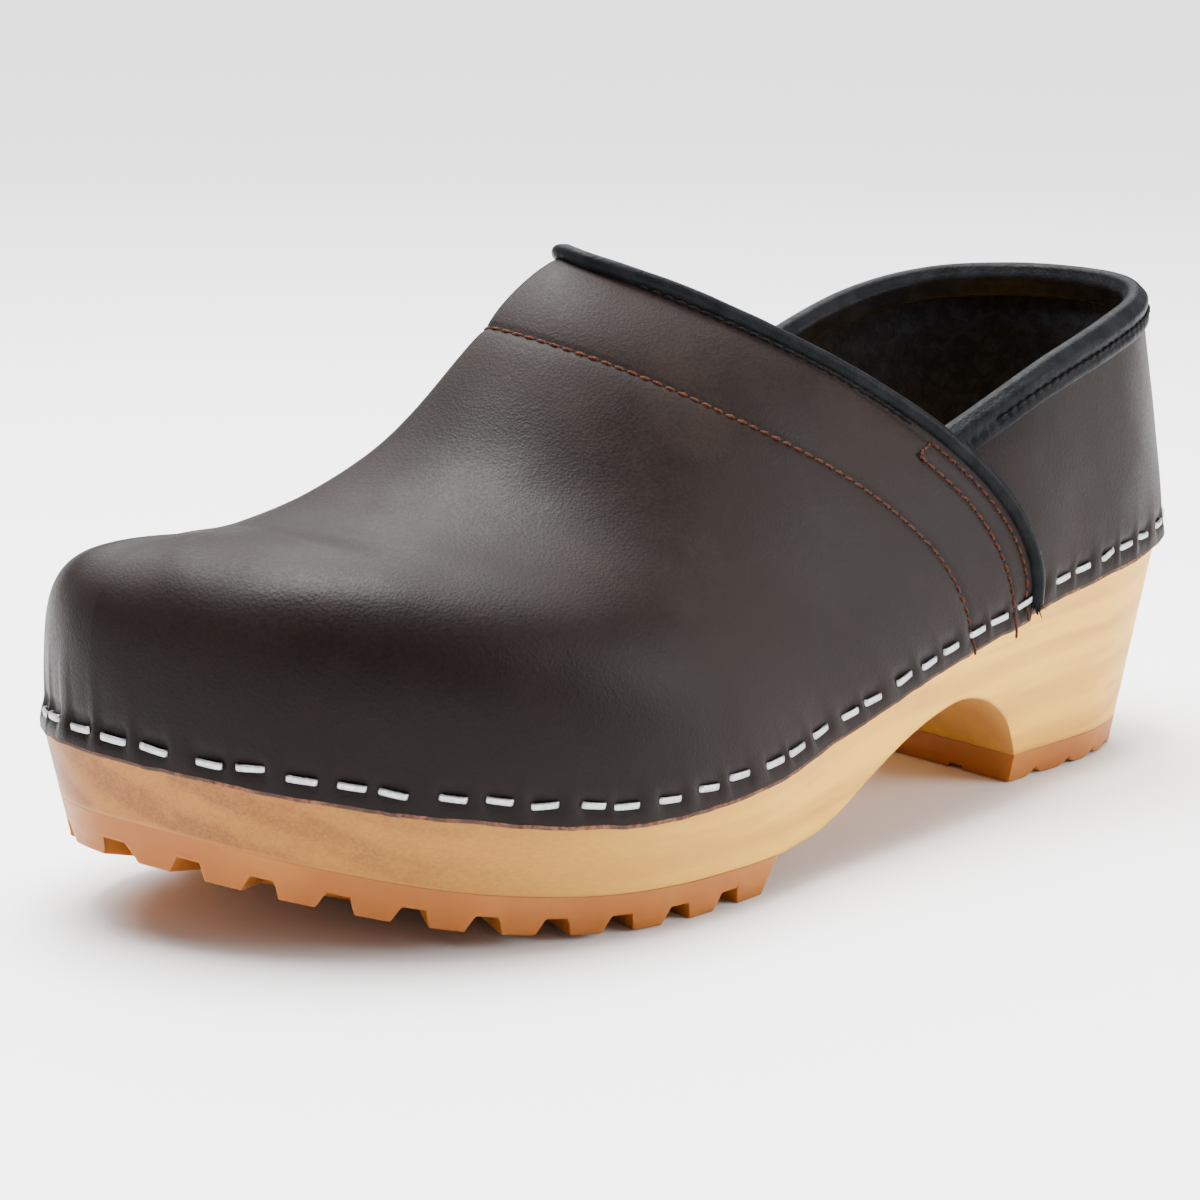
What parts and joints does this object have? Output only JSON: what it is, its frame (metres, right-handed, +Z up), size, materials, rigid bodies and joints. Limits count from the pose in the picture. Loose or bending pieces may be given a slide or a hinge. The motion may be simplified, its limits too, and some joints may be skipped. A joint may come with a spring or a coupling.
{
  "type": "wooden clog",
  "caption": "Closed-back clog for the left foot: a leather upper stapled round a carved wooden base with a raised heel, on lugged gum-rubber soles, with a bound collar and a piped throat.",
  "frame": {"origin": "on the ground, under the middle of the clog's bounding box", "axes": "+X towards the toe, +Y towards the outer side of the left foot, +Z up"},
  "size_m": [0.2662, 0.103, 0.1165],
  "materials": {
    "wood": "pale alder, smooth, lightly sealed",
    "gum_rubber": "slightly translucent gum rubber, satin",
    "brown_leather": "oiled dark brown nubuck, matte",
    "lining_leather": "undyed pinkish-brown lining leather, matte",
    "black_lining": "napped black lining",
    "stiffener": "pressed fibre",
    "foam": "open-cell foam",
    "black_trim": "smooth black trim leather, satin",
    "staple_steel": "bright flat wire",
    "brown_thread": "rust-brown twisted thread",
    "black_thread": "black twisted thread"
  },
  "bodies": {
    "root": {"wood_base": "wood", "forefoot_outsole": "gum_rubber", "heel_outsole": "gum_rubber", "vamp": "brown_leather", "quarter": "brown_leather", "vamp_lining": "lining_leather", "quarter_lining": "black_lining", "toe_puff": "stiffener", "heel_counter": "stiffener", "instep_pad": "foam", "throat_piping": "black_trim", "collar_binding": "black_trim", "vamp_staples": "staple_steel", "quarter_staples": "staple_steel", "instep_stitching": "brown_thread", "outer_seam_stitching": "brown_thread", "inner_seam_stitching": "brown_thread", "collar_stitching": "black_thread", "piping_stitching": "black_thread"}
  },
  "joints": []
}
